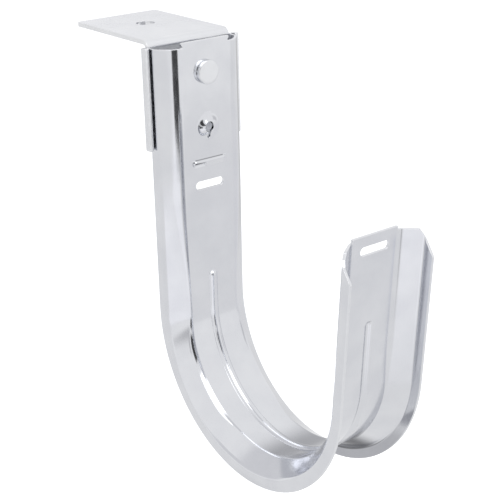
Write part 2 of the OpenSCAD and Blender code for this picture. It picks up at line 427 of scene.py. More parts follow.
@dataclass
class Strap:
    """The strap of channel section that is bent into the J.

    The names are the solids' own, but for the soft creases, which only the looks have: soft_r
    is added to the crease's radius down to soft_from and fades out at soft_to, bend_soft_r
    rises and falls over the four places of bend_soft, and tip_soft_r rises over tip_soft. The
    crease lies crease_out further out, and soft_spread of what is added to its radius moves it.
    """

    web_w: float = 25.4
    flange_run: float = 9.8
    flange_drop: float = 6.6
    channel_d: float = 12.0
    sheet_t: float = 1.2
    bend_r: float = 1.6
    loop_r: float = 50.8
    shank_l: float = 124.3
    tip_l: float = 69.8
    tip_lean: float = 4.5
    shank_step: float = 2.4
    tip_step: float = 1.4
    relief_r: float = 0.6
    corner_start: float = 3.0
    corner_slope: float = 1.24
    rib_w: float = 4.4
    rib_h: float = 1.3
    rib_top: float = 108.0
    rib_tip: float = 38.5
    slot_l: float = 15.3
    slot_h: float = 3.8
    slot_down: float = 65.5
    tip_slot_down: float = 6.5
    screw_hole_d: float = 4.8
    screw_ring_d: float = 12.6
    screw_ring_h: float = 1.9
    screw_pitch: float = 1.1
    screw_slit: float = 2.0
    screw_slit_l: float = 5.2
    screw_down: float = 38.9
    catch_l: float = 18.8
    catch_h: float = 4.0
    catch_out: float = 0.85
    catch_slit: float = 0.1
    catch_down: float = 53.4
    pocket_l: float = 6.6
    pocket_h: float = 2.2
    pocket_down: float = 2.4
    pocket_in: float = 0.9
    rivet_down: float = 14.2
    rivet_hole_d: float = 6.5
    web_y: float = -46.5
    top_z: float = -0.5
    rim: float = 0.1
    soft_r: float = 6.0
    soft_from: float = 60.0
    soft_to: float = 125.0
    bend_soft_r: float = 3.2
    bend_soft: tuple[float, float, float, float] = (126.0, 144.0, 172.0, 190.0)
    tip_soft_r: float = 4.0
    tip_soft: tuple[float, float] = (270.0, 300.0)
    crease_out: float = 0.4
    soft_spread: float = 0.55
    flange_l: float = field(init=False)
    lip_l: float = field(init=False)
    loop_l: float = field(init=False)
    length: float = field(init=False)

    def __post_init__(self) -> None:
        """Works out the lengths along and across the blank."""
        self.flange_l = math.hypot(self.flange_run, self.flange_drop)
        self.lip_l = self.channel_d - self.flange_drop
        self.loop_l = self.loop_r * math.radians(180 - self.tip_lean)
        self.length = self.shank_l + self.loop_l + self.tip_l

    @property
    def half(self) -> float:
        """Half of the blank's width."""
        return self.web_w / 2 + self.flange_l + self.lip_l

    def spine(self, t: Array) -> tuple[Array, Array, Array, Array]:
        """Follows the J, from the top of the shank round to the end of the tip.

        Args:
            t: Distance along the face of the web.

        Returns:
            y and z of the face, and y and z of the way into the sheet.
        """
        angle = np.clip((t - self.shank_l) / self.loop_r, 0, math.radians(180 - self.tip_lean))
        cos, sin = np.cos(angle), np.sin(angle)
        before = np.minimum(t, self.shank_l)
        after = np.maximum(t - self.shank_l - self.loop_l, 0)
        centre_y, centre_z = self.web_y - self.loop_r, self.top_z - self.shank_l
        y = centre_y + self.loop_r * cos - after * sin
        z = centre_z - self.loop_r * sin - after * cos + (self.shank_l - before)
        return y, z, cos, -sin

    def outline(self, s: Array, t: Array) -> Array:
        """Trims the blank, and cuts its holes, slots and slit.

        Args:
            s: Across the blank.
            t: Along the blank.

        Returns:
            How deep the points lie inside the metal.
        """
        u, tip, web = np.abs(s), self.length - t, self.web_w / 2
        depth = np.minimum(self.half - u, np.minimum(t, tip))
        for along, step in ((t, self.shank_step), (tip, self.tip_step)):
            notch = box_depth(u, along, (web + self.half, step - self.half), (self.half, self.half))
            relief = self.relief_r - np.hypot(u - web, along - step + self.relief_r)
            depth = np.minimum(depth, -np.maximum(notch, relief))
        start = web + self.flange_l - self.corner_start
        slope = self.corner_slope
        corner = (tip - self.tip_step - slope * (u - start)) / math.hypot(1, slope)
        depth = np.minimum(depth, corner)
        for down in (self.slot_down, self.length - self.tip_slot_down):
            depth = np.minimum(depth, -slot_depth(s, t, (0, down), self.slot_l, self.slot_h))
        depth = np.minimum(depth, np.hypot(s, t - self.rivet_down) - self.rivet_hole_d / 2)
        depth = np.minimum(depth, np.hypot(s, t - self.screw_down) - self.screw_hole_d / 2)
        half_l = self.screw_slit_l / 2 - 0.5
        slit = box_depth(s, t, (0, self.screw_down + half_l), (0.05, half_l)) + self.screw_slit / 2
        return np.minimum(depth, -slit) - self.rim

    def pocket_depth(self, s: Array, t: Array) -> Array:
        """Outlines the pocket, which is round on the left and square on the right.

        Args:
            s: Across the blank.
            t: Along the blank.

        Returns:
            How deep the points lie inside it.
        """
        left = self.pocket_in - self.catch_l / 2
        down = self.catch_down + self.pocket_down
        slot = slot_depth(s, t, (left + self.pocket_l, down), 2 * self.pocket_l, self.pocket_h)
        return np.minimum(slot, left + self.pocket_l - s)

    def pressing(self, s: Array, t: Array) -> Array:
        """How far the rib, the screw ring and the catch stand out of the web."""
        return self.rib(s, t) + self.screw_ring(s, t) + self.catch(s, t)

    def rib(self, s: Array, t: Array) -> Array:
        """Presses the rib along the bottom of the J, round in section and at its ends.

        Args:
            s: Across the blank.
            t: Along the blank.

        Returns:
            How far it stands out of the web, with a soft foot.
        """
        radius = ((self.rib_w / 2) ** 2 + self.rib_h ** 2) / (2 * self.rib_h)
        first = self.rib_top + self.rib_w / 2
        last = self.length - self.rib_tip - self.rib_w / 2
        beyond = np.maximum(np.maximum(first - t, t - last), 0)
        r = np.hypot(s, beyond)
        bar = np.where(r < radius, np.sqrt(np.maximum(radius * radius - r * r, 0)), radius - r)
        bar = bar - (radius - self.rib_h)
        reach, blend = 3.0, 0.05
        soft = (bar + np.sqrt(bar * bar + blend)) / 2 - blend / 4 / np.maximum(-bar, 0.25) * (bar < 0)
        return np.where(bar > -reach, soft, 0) * ease((bar + reach) / 1.5)

    def screw_ring(self, s: Array, t: Array) -> Array:
        """Draws up the ring round the screw hole, which rises in one turn like a thread.

        Args:
            s: Across the blank.
            t: Along the blank.

        Returns:
            How far it stands out of the web.
        """
        x, up = s, self.screw_down - t
        r = np.hypot(x, up)
        edge = self.screw_hole_d / 2 + 0.2
        foot = self.screw_ring_d / 2
        turn = np.mod(np.arctan2(up, x) + math.pi / 2, 2 * math.pi) / (2 * math.pi)
        height = self.screw_ring_h - self.screw_pitch * (1 - turn)
        rise = np.clip((foot - r) / (foot - edge), 0, 1)
        return height * (0.8 * rise * rise + 0.2 * ease(rise))

    def catch(self, s: Array, t: Array) -> Array:
        """Presses the louvre, which curls over towards its slit, and the pocket in its foot.

        Args:
            s: Across the blank.
            t: Along the blank.

        Returns:
            How far they stand out of the web.
        """
        x = (t - self.catch_down - self.catch_slit / 2) / self.catch_h
        curl, slope = np.clip((x + 0.04) / 0.3, 0, 1), 1 - ease((x - 0.24) / 0.76)
        side = np.clip((self.catch_l / 2 - np.abs(s)) / 2.2, 0, 1)
        louvre = self.catch_out * curl * slope * ease(side) * (x > 0)
        left = self.pocket_in - self.catch_l / 2
        along = np.clip((s - left) / self.pocket_l, 0, 1)
        return louvre - (0.66 - 0.16 * along) * np.clip(self.pocket_depth(s, t) / 0.9, 0, 1)

    # Painted shade: the gaps of the louvre's slit and of the pocket are darkened in colour, as their shadow
    # would darken them.
    def painted_gap_shade(self, s: Array, t: Array) -> Array:
        """Paints shade into the narrow places, where the gaps' shadow falls: the slit over the louvre, and
        the top of the pocket.

        Args:
            s: Across the blank.
            t: Along the blank.

        Returns:
            How much painted shade the points get, from 0 to 1.
        """
        end = (self.catch_l - self.catch_h) / 2
        slit = np.hypot(np.maximum(np.abs(s) - end, 0), t - self.catch_down - 0.05)
        left = self.pocket_in - self.catch_l / 2
        along = np.clip((s - left - 0.9) / (self.pocket_l - 1.2), 0, 1)
        top = t - self.catch_down - self.pocket_down + self.pocket_h / 2 - 0.3
        thick = 0.42 - 0.3 * along
        middle, half = left + self.pocket_l / 2 + 0.2, self.pocket_l / 2 - 0.7
        seam = np.hypot(np.maximum(np.abs(s - middle) - half, 0), top)
        in_slit = 0.62 * (1 - ease((slit - 0.06) / 0.3))
        in_pocket = (1 - ease((seam - thick + 0.1) / 0.3)) * (1 - 0.55 * along)
        return np.maximum(in_slit, in_pocket)

    def section(self, t: Array) -> Section:
        """Gives the channel's half section, whose crease is soft at the top, the first bend and the tip.

        Args:
            t: Distance along the blank.

        Returns:
            The half section at each place.
        """
        one = np.ones_like(t)
        web, radius = self.web_w / 2, self.bend_r + self.sheet_t
        soft = self.soft_r * (1 - ease((t - self.soft_from) / (self.soft_to - self.soft_from)))
        a, b, c, d = self.bend_soft
        soft = soft + self.bend_soft_r * ease((t - a) / (b - a)) * (1 - ease((t - c) / (d - c)))
        start, full = self.tip_soft
        corner = web + self.crease_out + soft * self.soft_spread
        soft = soft + self.tip_soft_r * ease((t - start) / (full - start))
        return Section(
            stations=[corner, (web + self.flange_l) * one],
            corners=[(corner, 0 * one), ((web + self.flange_run) * one, self.flange_drop * one)],
            radii=[radius + soft, radius * one], last=(0.0, 1.0))

    def build(self) -> bpy.types.Object:
        """Lays out the blank's grid and forms it.

        Returns:
            The new object.
        """
        web, lip_at = self.web_w / 2, self.web_w / 2 + self.flange_l
        columns = graded((0, 2.8, 0.22), (2.8, web - 3, 0.28), (web - 3, web + 6, 0.25),
                         (web + 6, lip_at - 2.4, 0.6), (lip_at - 2.4, lip_at + 2.4, 0.3),
                         (lip_at + 2.4, self.half, 0.6))
        end = self.length
        tip = end - self.tip_l
        rows = graded((0, 3, 0.2), (3, 10, 0.7), (10, 18.6, 0.4), (18.6, 33, 1.2), (33, 45, 0.22),
                      (45, 52, 0.8), (52, 59, 0.16), (59, 63, 0.6), (63, 68.2, 0.24),
                      (68.2, 105, 2.4), (105, 112, 0.3), (112, self.shank_l, 1.5),
                      (self.shank_l, tip, 1.8), (tip, end - 42, 2.4), (end - 42, end - 36, 0.3),
                      (end - 36, end - 16, 2.0), (end - 16, end - 9.5, 0.5),
                      (end - 9.5, end - 4.2, 0.24), (end - 4.2, end, 0.2))
        sheet = FormedSheet(self.sheet_t, columns, rows, self.section, self.spine, self.outline,
                            self.pressing, rim=self.rim, painted_gap_shade=self.painted_gap_shade)
        return sheet.mesh("strap")


@dataclass
class Bracket:
    """The angle bracket, with its fold under the ceiling and its two ears.

    The names are the solids' own, but for the strap's cover on the leg: it is shadow_half wide
    on each side, is full down to shadow_full and fades out over shadow_fade.
    """

    thickness: float = 2.0
    top_w: float = 44.0
    top_l: float = 59.0
    hole_d: float = 8.8
    hole_in: float = 34.5
    corner_r: float = 2.0
    fold_r: float = 1.4
    leg_h: float = 48.4
    width: float = 50.4
    ear_out: float = 2.9
    ear_bend_r: float = 0.4
    ear_down: float = 2.8
    rivet_z: float = -14.7
    rivet_hole_d: float = 6.5
    rim: float = 0.16
    shadow_half: float = 22.8
    shadow_full: float = 5.0
    shadow_fade: float = 7.0

    @property
    def fold_outer(self) -> float:
        """Radius of the fold at the face."""
        return self.fold_r + self.thickness

    @property
    def plate_l(self) -> float:
        """Length of the top plate's flat part."""
        return self.top_l - self.fold_outer

    @property
    def leg_start(self) -> float:
        """Where the leg's flat part starts along the blank."""
        return self.plate_l + self.fold_outer * math.pi / 2

    @property
    def length(self) -> float:
        """Length of the blank along the face."""
        return self.leg_start + self.leg_h - self.fold_outer

    @property
    def ear_at(self) -> float:
        """The ears' corner across the blank, at the face."""
        return self.width / 2 - self.thickness

    def spine(self, t: Array) -> tuple[Array, Array, Array, Array]:
        """Follows the bracket from the back of its top plate over the fold and down the leg.

        Args:
            t: Distance along the face.

        Returns:
            y and z of the face, and y and z of the way into the sheet.
        """
        r = self.fold_outer
        angle = np.clip((t - self.plate_l) / r, 0, math.pi / 2)
        sin, cos = np.sin(angle), np.cos(angle)
        before = np.maximum(self.plate_l - t, 0)
        after = np.maximum(t - self.leg_start, 0)
        y = -self.hole_in + r - r * sin + before
        z = -r + r * cos - after
        return y, z, sin, -cos

    def outline(self, s: Array, t: Array) -> Array:
        """Trims plate, leg and ears, and cuts the two holes.

        Args:
            s: Across the blank.
            t: Along the blank.

        Returns:
            How deep the points lie inside the metal.
        """
        u = np.abs(s)
        ear = self.ear_at + self.ear_out
        ear_top = self.leg_start - self.fold_outer + self.ear_down
        half_w, end, c = self.top_w / 2, self.length, self.corner_r
        plate = box_depth(s, t, (0, end / 2), (half_w, end / 2))
        du, dt = c - (half_w - u), c - t
        plate = np.where((du > 0) & (dt > 0), c - np.hypot(du, dt), plate)
        leg = box_depth(s, t, (0, (self.leg_start + end) / 2), (half_w + 0.6, (end - self.leg_start) / 2))
        inner = half_w + 0.4
        ears = box_depth(u, t, ((inner + ear) / 2, (ear_top + end) / 2),
                         ((ear - inner) / 2, (end - ear_top) / 2))
        depth = np.maximum(np.maximum(plate, leg), ears)
        depth = np.minimum(depth, np.hypot(s, t - (self.top_l - self.hole_in)) - self.hole_d / 2)
        rivet_t = self.leg_start - self.fold_outer - self.rivet_z
        depth = np.minimum(depth, np.hypot(s, t - rivet_t) - self.rivet_hole_d / 2)
        return depth - self.rim

    @staticmethod
    def pressing(s: Array, t: Array) -> Array:
        """The bracket is pressed nowhere."""
        return np.zeros_like(s)

    def covered(self, s: Array, t: Array) -> Array:
        """Where the top of the strap covers the leg."""
        down, across = t - self.leg_start, ease((self.shadow_half - np.abs(s)) / 0.6)
        return across * ease((down + 0.6) / 1.2) * (1 - ease((down - self.shadow_full) / self.shadow_fade))

    def section(self, t: Array) -> Section:
        """The leg's half section, with its ear turned forward."""
        corner = np.full_like(t, self.ear_at)
        return Section([corner], [(corner, 0 * corner)], [np.full_like(t, self.ear_bend_r)], (0.0, -1.0))

    def build(self) -> bpy.types.Object:
        """Lays out the blank's grid and forms it.

        Returns:
            The new object.
        """
        ear = self.ear_at + self.ear_out
        hole_t = self.top_l - self.hole_in
        columns = graded((0, 5, 0.35), (5, 19.5, 1.2), (19.5, ear, 0.14))
        leg, end = self.leg_start, self.length
        rows = graded((0, 3, 0.25), (3, hole_t - 5, 1.2), (hole_t - 5, hole_t + 5, 0.35),
                      (hole_t + 5, self.plate_l, 1.5), (self.plate_l, leg + 0.6, 0.2),
                      (leg + 0.6, leg + 6.5, 0.8), (leg + 6.5, leg + 16, 0.35),
                      (leg + 16, end - 0.8, 1.6), (end - 0.8, end, 0.2))
        sheet = FormedSheet(self.thickness, columns, rows, self.section, self.spine, self.outline,
                            self.pressing, rim=self.rim, covered=self.covered)
        return sheet.mesh("angle_bracket")


@dataclass
class Rivet:
    """The rivet that holds strap and bracket together."""

    shank_d: float = 6.4
    head_d: float = 10.8
    head_t: float = 2.3
    head_edge_r: float = 0.4
    tail_d: float = 9.6
    tail_t: float = 1.8
    grip: float = 14.0
    face_y: float = -46.5
    z: float = -14.7
    segments: int = 96

    def profile(self) -> list[tuple[float, float]]:
        """The rivet's half section.

        Returns:
            Pairs of radius and distance from the head's front, from one end of the axis to the other.
        """
        rows: list[tuple[float, float]] = [(0.0, 0.0)]
        rows += [(r, 0.0) for r in (1.6, 3.0, 3.9)]
        e, top = self.head_edge_r, self.head_d / 2
        rows += [(top - e + e * math.sin(a), e - e * math.cos(a)) for a in np.linspace(0, math.pi / 2, 7)]
        small = 0.15
        rows += [(top, self.head_t - small), (top - 0.04, self.head_t - 0.04), (top - small, self.head_t)]
        end = self.head_t + self.grip
        rows += [(self.shank_d / 2, self.head_t), (self.shank_d / 2, end)]
        tail = self.tail_d / 2
        rows += [(tail - small, end), (tail, end + small)]
        last = end + self.tail_t
        rows += [(tail, last - 0.5), (tail - small, last - small), (tail - 0.5, last)]
        rows += [(1.4, last), (1.1, last - 0.3), (0.0, last - 0.35)]
        return rows

    def build(self) -> bpy.types.Object:
        """Turns the half section round the rivet's axis.

        Returns:
            The new object.
        """
        rows, n = self.profile(), self.segments
        counts = [1 if r == 0 else n for r, _ in rows]
        verts = [(r * math.cos(a), self.face_y - self.head_t + along, self.z + r * math.sin(a))
                 for (r, along), count in zip(rows, counts)
                 for a in (2 * math.pi * k / n for k in range(count))]
        faces: list[Face] = []
        for i in range(len(rows) - 1):
            a = sum(counts[:i])
            b = a + counts[i]
            for k in range(n):
                m = (k + 1) % n
                if rows[i][0] == 0:
                    faces.append((a, b + k, b + m))
                elif rows[i + 1][0] == 0:
                    faces.append((a + m, a + k, b))
                else:
                    faces.append((a + m, a + k, b + k, b + m))
        mesh = bpy.data.meshes.new("rivet_turned")
        mesh.from_pydata([[v * MM for v in vert] for vert in verts], [], faces)
        mesh.validate()
        mesh.shade_smooth()
        mesh.set_sharp_from_angle(angle=math.radians(32))
        edge = np.repeat([math.hypot(r - self.head_d / 2, along) for r, along in rows], counts)
        mark(mesh, "from_edge", edge)
        return linked("rivet_turned", mesh)


# ---------------------------------------------------------------- finishes

def add(tree: Tree, *kinds: str) -> list[Node]:
    """Adds one shader node of each kind."""
    return [tree.nodes.new("ShaderNode" + kind) for kind in kinds]


def preset(node: Node, values: dict[str | int, float | tuple[float, ...]]) -> None:
    """Sets inputs of a node."""
    for key, value in values.items():
        node.inputs[key].default_value = value


def wire(tree: Tree, *wires: Wire) -> None:
    """Links nodes, each wire from one node's output to another node's input."""
    for source, output, target, entry in wires:
        tree.links.new(source.outputs[output], target.inputs[entry])


def cleared(owner: bpy.types.Material | bpy.types.World) -> Tree:
    """Turns on the nodes of a material or a world, and takes out those it starts with.

    Args:
        owner: The material or the world.

    Returns:
        Its empty tree.
    """
    owner.use_nodes = True
    owner.node_tree.nodes.clear()
    return owner.node_tree


class EffectGroups:
    """Shader node groups that more than one finish uses. Each is built once."""

    def __init__(self) -> None:
        """Builds the groups."""
        self.mottle = self._mottle()
        self.grain = self._grain()
        self.rub_and_highlight = self._rub_and_highlight()

    @staticmethod
    def _start(name: str, inputs: dict[str, float], outputs: tuple[str, ...]) -> tuple[Tree, Node, Node]:
        """Opens a group with a vector input, named value inputs and value outputs.

        Args:
            name: The group's name.
            inputs: Value inputs and their defaults.
            outputs: Names of the value outputs.

        Returns:
            The group's tree, its input node and its output node.
        """
        tree = bpy.data.node_groups.new(name, "ShaderNodeTree")
        tree.interface.new_socket("Place", in_out="INPUT", socket_type="NodeSocketVector")
        for key, value in inputs.items():
            socket = tree.interface.new_socket(key, in_out="INPUT", socket_type="NodeSocketFloat")
            socket.default_value = value
        for key in outputs:
            tree.interface.new_socket(key, in_out="OUTPUT", socket_type="NodeSocketFloat")
        return tree, tree.nodes.new("NodeGroupInput"), tree.nodes.new("NodeGroupOutput")

    def _mottle(self) -> Tree:
        """Makes soft clouds, as plating and handling leave on bright steel.

        Returns:
            The group.
        """
        tree, given, out = self._start(
            "plating_clouds", {"Scale": 60.0, "Low": 0.35, "High": 0.65}, ("Mask",))
        noise, span = add(tree, "TexNoise", "MapRange")
        preset(noise, {"Detail": 5, "Roughness": 0.55})
        wire(tree, (given, "Place", noise, "Vector"), (given, "Scale", noise, "Scale"),
             (noise, "Fac", span, "Value"), (given, "Low", span, "From Min"),
             (given, "High", span, "From Max"), (span, "Result", out, "Mask"))
        return tree

    def _grain(self) -> Tree:
        """Makes fine lines along the sheet, as the rolls leave them.

        Returns:
            The group.
        """
        tree, given, out = self._start("rolling_grain", {"Across": 9000.0, "Along": 260.0}, ("Height",))
        scale, times, noise = add(tree, "CombineXYZ", "VectorMath", "TexNoise")
        times.operation = "MULTIPLY"
        preset(noise, {"Scale": 1, "Detail": 3})
        wire(tree, (given, "Across", scale, "X"), (given, "Along", scale, "Y"),
             (given, "Across", scale, "Z"), (given, "Place", times, 0), (scale, "Vector", times, 1),
             (times, "Vector", noise, "Vector"), (noise, "Fac", out, "Height"))
        return tree

    def _rub_and_highlight(self) -> Tree:
        """Finds where handling rubs the edges and where a painted highlight brightens them, by their
        distance in millimetres.

        Returns:
            The group.
        """
        # This mask is partly wear and partly a painted highlight along the edges.
        tree, given, out = self._start("edge_rub_and_highlight", {"Distance": 5.0, "Reach": 0.45}, ("Mask",))
        noise, near, mask = add(tree, "TexNoise", "MapRange", "Math")
        preset(noise, {"Scale": 900, "Detail": 3})
        preset(near, {"To Min": 1.0, "To Max": 0.0})
        mask.operation = "MULTIPLY"
        wire(tree, (given, "Place", noise, "Vector"), (given, "Distance", near, "Value"),
             (given, "Reach", near, "From Max"), (near, "Result", mask, 0), (noise, "Fac", mask, 1),
             (mask, 0, out, "Mask"))
        return tree


@dataclass(frozen=True)
class PlatedSteel:
    """Bright plating on rolled steel sheet.

    Attributes:
        name: The material's name.
        bright: Colour of clean plating.
        dull: Colour where the plating is clouded.
        rough: Roughness of clean plating.
        clouded: Roughness where the plating is clouded.
        grain_depth: Depth of the rolling grain in metres.
        ripple_depth: Depth of the sheet's slow waves in metres.
        rubbed_and_highlight: Colour along the edges, where handling has rubbed the plating and a painted
            highlight brightens it.
        gap_shade_tone: Colour of the painted shade in the narrow slit and at the top of the pocket.
        cloud_scale: How fine the clouds are.
        ripple_scale: How fine the sheet's slow waves are.
        covered_rough: Roughness that is added where the next sheet covers the metal.
        covered_metal: How metallic the steel is there.
    """

    name: str
    bright: tuple[float, float, float] = (0.72, 0.73, 0.76)
    dull: tuple[float, float, float] = (0.68, 0.69, 0.725)
    rough: float = 0.09
    clouded: float = 0.14
    grain_depth: float = 0.000003
    ripple_depth: float = 0.000012
    rubbed_and_highlight: tuple[float, float, float] = (0.80, 0.81, 0.83)
    gap_shade_tone: tuple[float, float, float] = (0.10, 0.10, 0.11)
    cloud_scale: float = 70.0
    ripple_scale: float = 42.0
    covered_rough: float = 0.4
    covered_metal: float = 0.92

    def material(self, groups: EffectGroups) -> bpy.types.Material:
        """Builds the finish.

        Args:
            groups: The shared effects.

        Returns:
            The material.
        """
        mat = bpy.data.materials.new(self.name)
        tree = cleared(mat)
        out, steel, place, clouds = add(tree, "OutputMaterial", "BsdfPrincipled", "TexCoord", "Group")
        clouds.node_tree = groups.mottle
        preset(clouds, {"Scale": self.cloud_scale})
        wire(tree, (place, "Object", clouds, "Place"),
             (self._colour(tree, groups, place, clouds), "Result", steel, "Base Color"),
             (self._relief(tree, groups, place), "Normal", steel, "Normal"),
             (steel, "BSDF", out, "Surface"))
        self._sheen(tree, steel, clouds)
        return mat

    def _colour(self, tree: Tree, groups: EffectGroups, place: Node, clouds: Node) -> Node:
        """Mixes clean, clouded, rubbed and dirty plating.

        Args:
            tree: The material's nodes.
            groups: The shared effects.
            place: The node that tells where a point lies.
            clouds: The node that tells how clouded the plating is.

        Returns:
            Mixes clean and clouded plating, rubbed edges with a painted highlight, and painted shade in the
            gaps.
        """
        # The rubbed edges are brightened in colour partly as wear and partly as a painted highlight.
        rub_and_highlight, from_edge, slit = add(tree, "Group", "Attribute", "Attribute")
        rub_and_highlight.node_tree = groups.rub_and_highlight
        from_edge.attribute_name, slit.attribute_name = "from_edge", "painted_gap_shade"
        # The last mix is painted shade, which darkens the slit over the louvre and the top of the pocket.
        plating, worn_and_highlight, gap_shaded = mixes = add(tree, "Mix", "Mix", "Mix")
        for mix, tone in zip(mixes, (self.dull, self.rubbed_and_highlight, self.gap_shade_tone)):
            mix.data_type = "RGBA"
            preset(mix, {"B": (*tone, 1)})
        preset(plating, {"A": (*self.bright, 1)})
        wire(tree, (place, "Object", rub_and_highlight, "Place"), (from_edge, "Fac", rub_and_highlight, "Distance"),
             (clouds, "Mask", plating, "Factor"), (rub_and_highlight, "Mask", worn_and_highlight, "Factor"),
             (slit, "Fac", gap_shaded, "Factor"), (plating, "Result", worn_and_highlight, "A"), (worn_and_highlight, "Result", gap_shaded, "A"))
        return gap_shaded

    def _sheen(self, tree: Tree, steel: Node, clouds: Node) -> None:
        """Makes the plating rougher in its clouds, and dull where the next sheet covers it.

        Args:
            tree: The material's nodes.
            steel: The material's shader.
            clouds: The node that tells how clouded the plating is.
        """
        rough, matt, metal, under = add(tree, "MapRange", "Math", "MapRange", "Attribute")
        under.attribute_name = "covered"
        for node, low, high in ((rough, self.rough, self.clouded), (metal, 1.0, self.covered_metal)):
            preset(node, {"To Min": low, "To Max": high})
        matt.operation = "MULTIPLY_ADD"
        preset(matt, {1: self.covered_rough})
        wire(tree, (clouds, "Mask", rough, "Value"), (under, "Fac", matt, 0), (rough, "Result", matt, 2),
             (matt, 0, steel, "Roughness"), (under, "Fac", metal, "Value"),
             (metal, "Result", steel, "Metallic"))

    def _relief(self, tree: Tree, groups: EffectGroups, place: Node) -> Node:
        """Raises the rolling grain on the sheet's slow waves.

        Args:
            tree: The material's nodes.
            groups: The shared effects.
            place: The node that tells where a point lies.

        Returns:
            The node whose Normal is the surface's.
        """
        laid, grain, fine, wave, slow = add(tree, "Attribute", "Group", "Bump", "TexNoise", "Bump")
        laid.attribute_name = "laid_flat"
        grain.node_tree = groups.grain
        preset(fine, {"Distance": self.grain_depth})
        preset(wave, {"Scale": self.ripple_scale, "Detail": 1})
        preset(slow, {"Distance": self.ripple_depth})
        wire(tree, (laid, "Vector", grain, "Place"), (grain, "Height", fine, "Height"),
             (place, "Object", wave, "Vector"), (wave, "Fac", slow, "Height"),
             (fine, "Normal", slow, "Normal"))
        return slow


# ---------------------------------------------------------------- studio

def toward(bearing: float, height: float) -> Vector:
    """The direction with a bearing from the front and a height angle, in degrees."""
    a, e = math.radians(bearing), math.radians(height)
    return Vector((math.sin(a) * math.cos(e), -math.cos(a) * math.cos(e), math.sin(e)))


@dataclass(frozen=True)
class SoftBox:
    """A soft rectangular lamp.

    Attributes:
        name: The lamp's name.
        bearing: Its bearing from the hook in degrees, 0 in front and 90 to the right.
        height: Its height angle in degrees.
        size: Its width and height in metres.
        glow: Its brightness, where 1 is the brightness of the room.
        mirrored: Whether polished metal shows the lamp itself.
        distance: How far it stands from the hook.
    """

    name: str
    bearing: float
    height: float
    size: tuple[float, float]
    glow: float
    mirrored: bool = True
    distance: float = 1.6

    def build(self) -> None:
        """Adds the lamp."""
        data = bpy.data.lights.new(self.name, "AREA")
        data.shape = "RECTANGLE"
        data.size, data.size_y = self.size
        data.energy = self.glow * math.pi * self.size[0] * self.size[1]
        lamp = linked(self.name, data)
        lamp.visible_glossy = self.mirrored
        away = toward(self.bearing, self.height)
        lamp.location = HOOK_MIDDLE + self.distance * away
        lamp.rotation_euler = (-away).to_track_quat("-Z", "Y").to_euler()


@dataclass(frozen=True)
class Flag:
    """A board with soft edges that stands round the hook, and that only polished metal shows.

    Attributes:
        name: The board's name.
        bearings: Bearings of its left and right edges in degrees.
        heights: Height angles of its bottom and top in degrees.
        shade: Its brightness, where 1 is the brightness of the room.
        soft: How much of its half width and height fades out towards the edges.
        distance: How far it stands from the hook.
    """

    name: str
    bearings: tuple[float, float]
    heights: tuple[float, float]
    shade: float
    soft: float = 0.3
    distance: float = 1.65

    def spot(self, across: float, up: float) -> tuple[float, float]:
        """Turns two numbers from -1 to 1 into a place between the board's edges."""
        (a, b), (c, d) = self.bearings, self.heights
        return (a + b) / 2 + across * (b - a) / 2, (c + d) / 2 + up * (d - c) / 2

    def place(self, across: float, up: float) -> Vector:
        """A point of the board, with both numbers from -1 to 1."""
        return HOOK_MIDDLE + self.distance * toward(*self.spot(across, up))

    def build(self) -> None:
        """Bends the board round the hook's middle."""
        n = 25
        ends = np.linspace(-1, 1, n)
        verts = [tuple(self.place(a, u)) for u in ends for a in ends]
        fade = ease((1 - np.abs(ends)) / self.soft)
        faces = [(k, k + 1, k + n + 1, k + n) for r in range(n - 1) for k in range(r * n, r * n + n - 1)]
        mesh = bpy.data.meshes.new(self.name)
        mesh.from_pydata(verts, [], faces)
        mark(mesh, "cover", np.outer(fade, fade).ravel())
        obj = linked(self.name, mesh)
        mesh.materials.append(self.paint())
        obj.visible_camera = obj.visible_diffuse = obj.visible_shadow = obj.visible_transmission = False

    def paint(self) -> bpy.types.Material:
        """Makes the board's own light, which fades out where the board does.

        Returns:
            The material.
        """
        mat = bpy.data.materials.new(self.name)
        tree = cleared(mat)
        out, glow, clear, mix, cover = add(
            tree, "OutputMaterial", "Emission", "BsdfTransparent", "MixShader", "Attribute")
        preset(glow, {"Color": (self.shade, self.shade, self.shade * 1.02, 1)})
        cover.attribute_name = "cover"
        wire(tree, (cover, "Fac", mix, "Fac"), (clear, 0, mix, 1), (glow, 0, mix, 2),
             (mix, 0, out, "Surface"))
        return mat


@dataclass(frozen=True)
class Mat(Flag):
    """A flag that lies level, with its reach in metres in place of angles.

    Attributes:
        level: Its height over the hook's origin.
    """

    level: float = -0.405

    def place(self, across: float, up: float) -> Vector:
        """A point of the mat, with both numbers from -1 to 1."""
        return Vector((*self.spot(across, up), self.level))


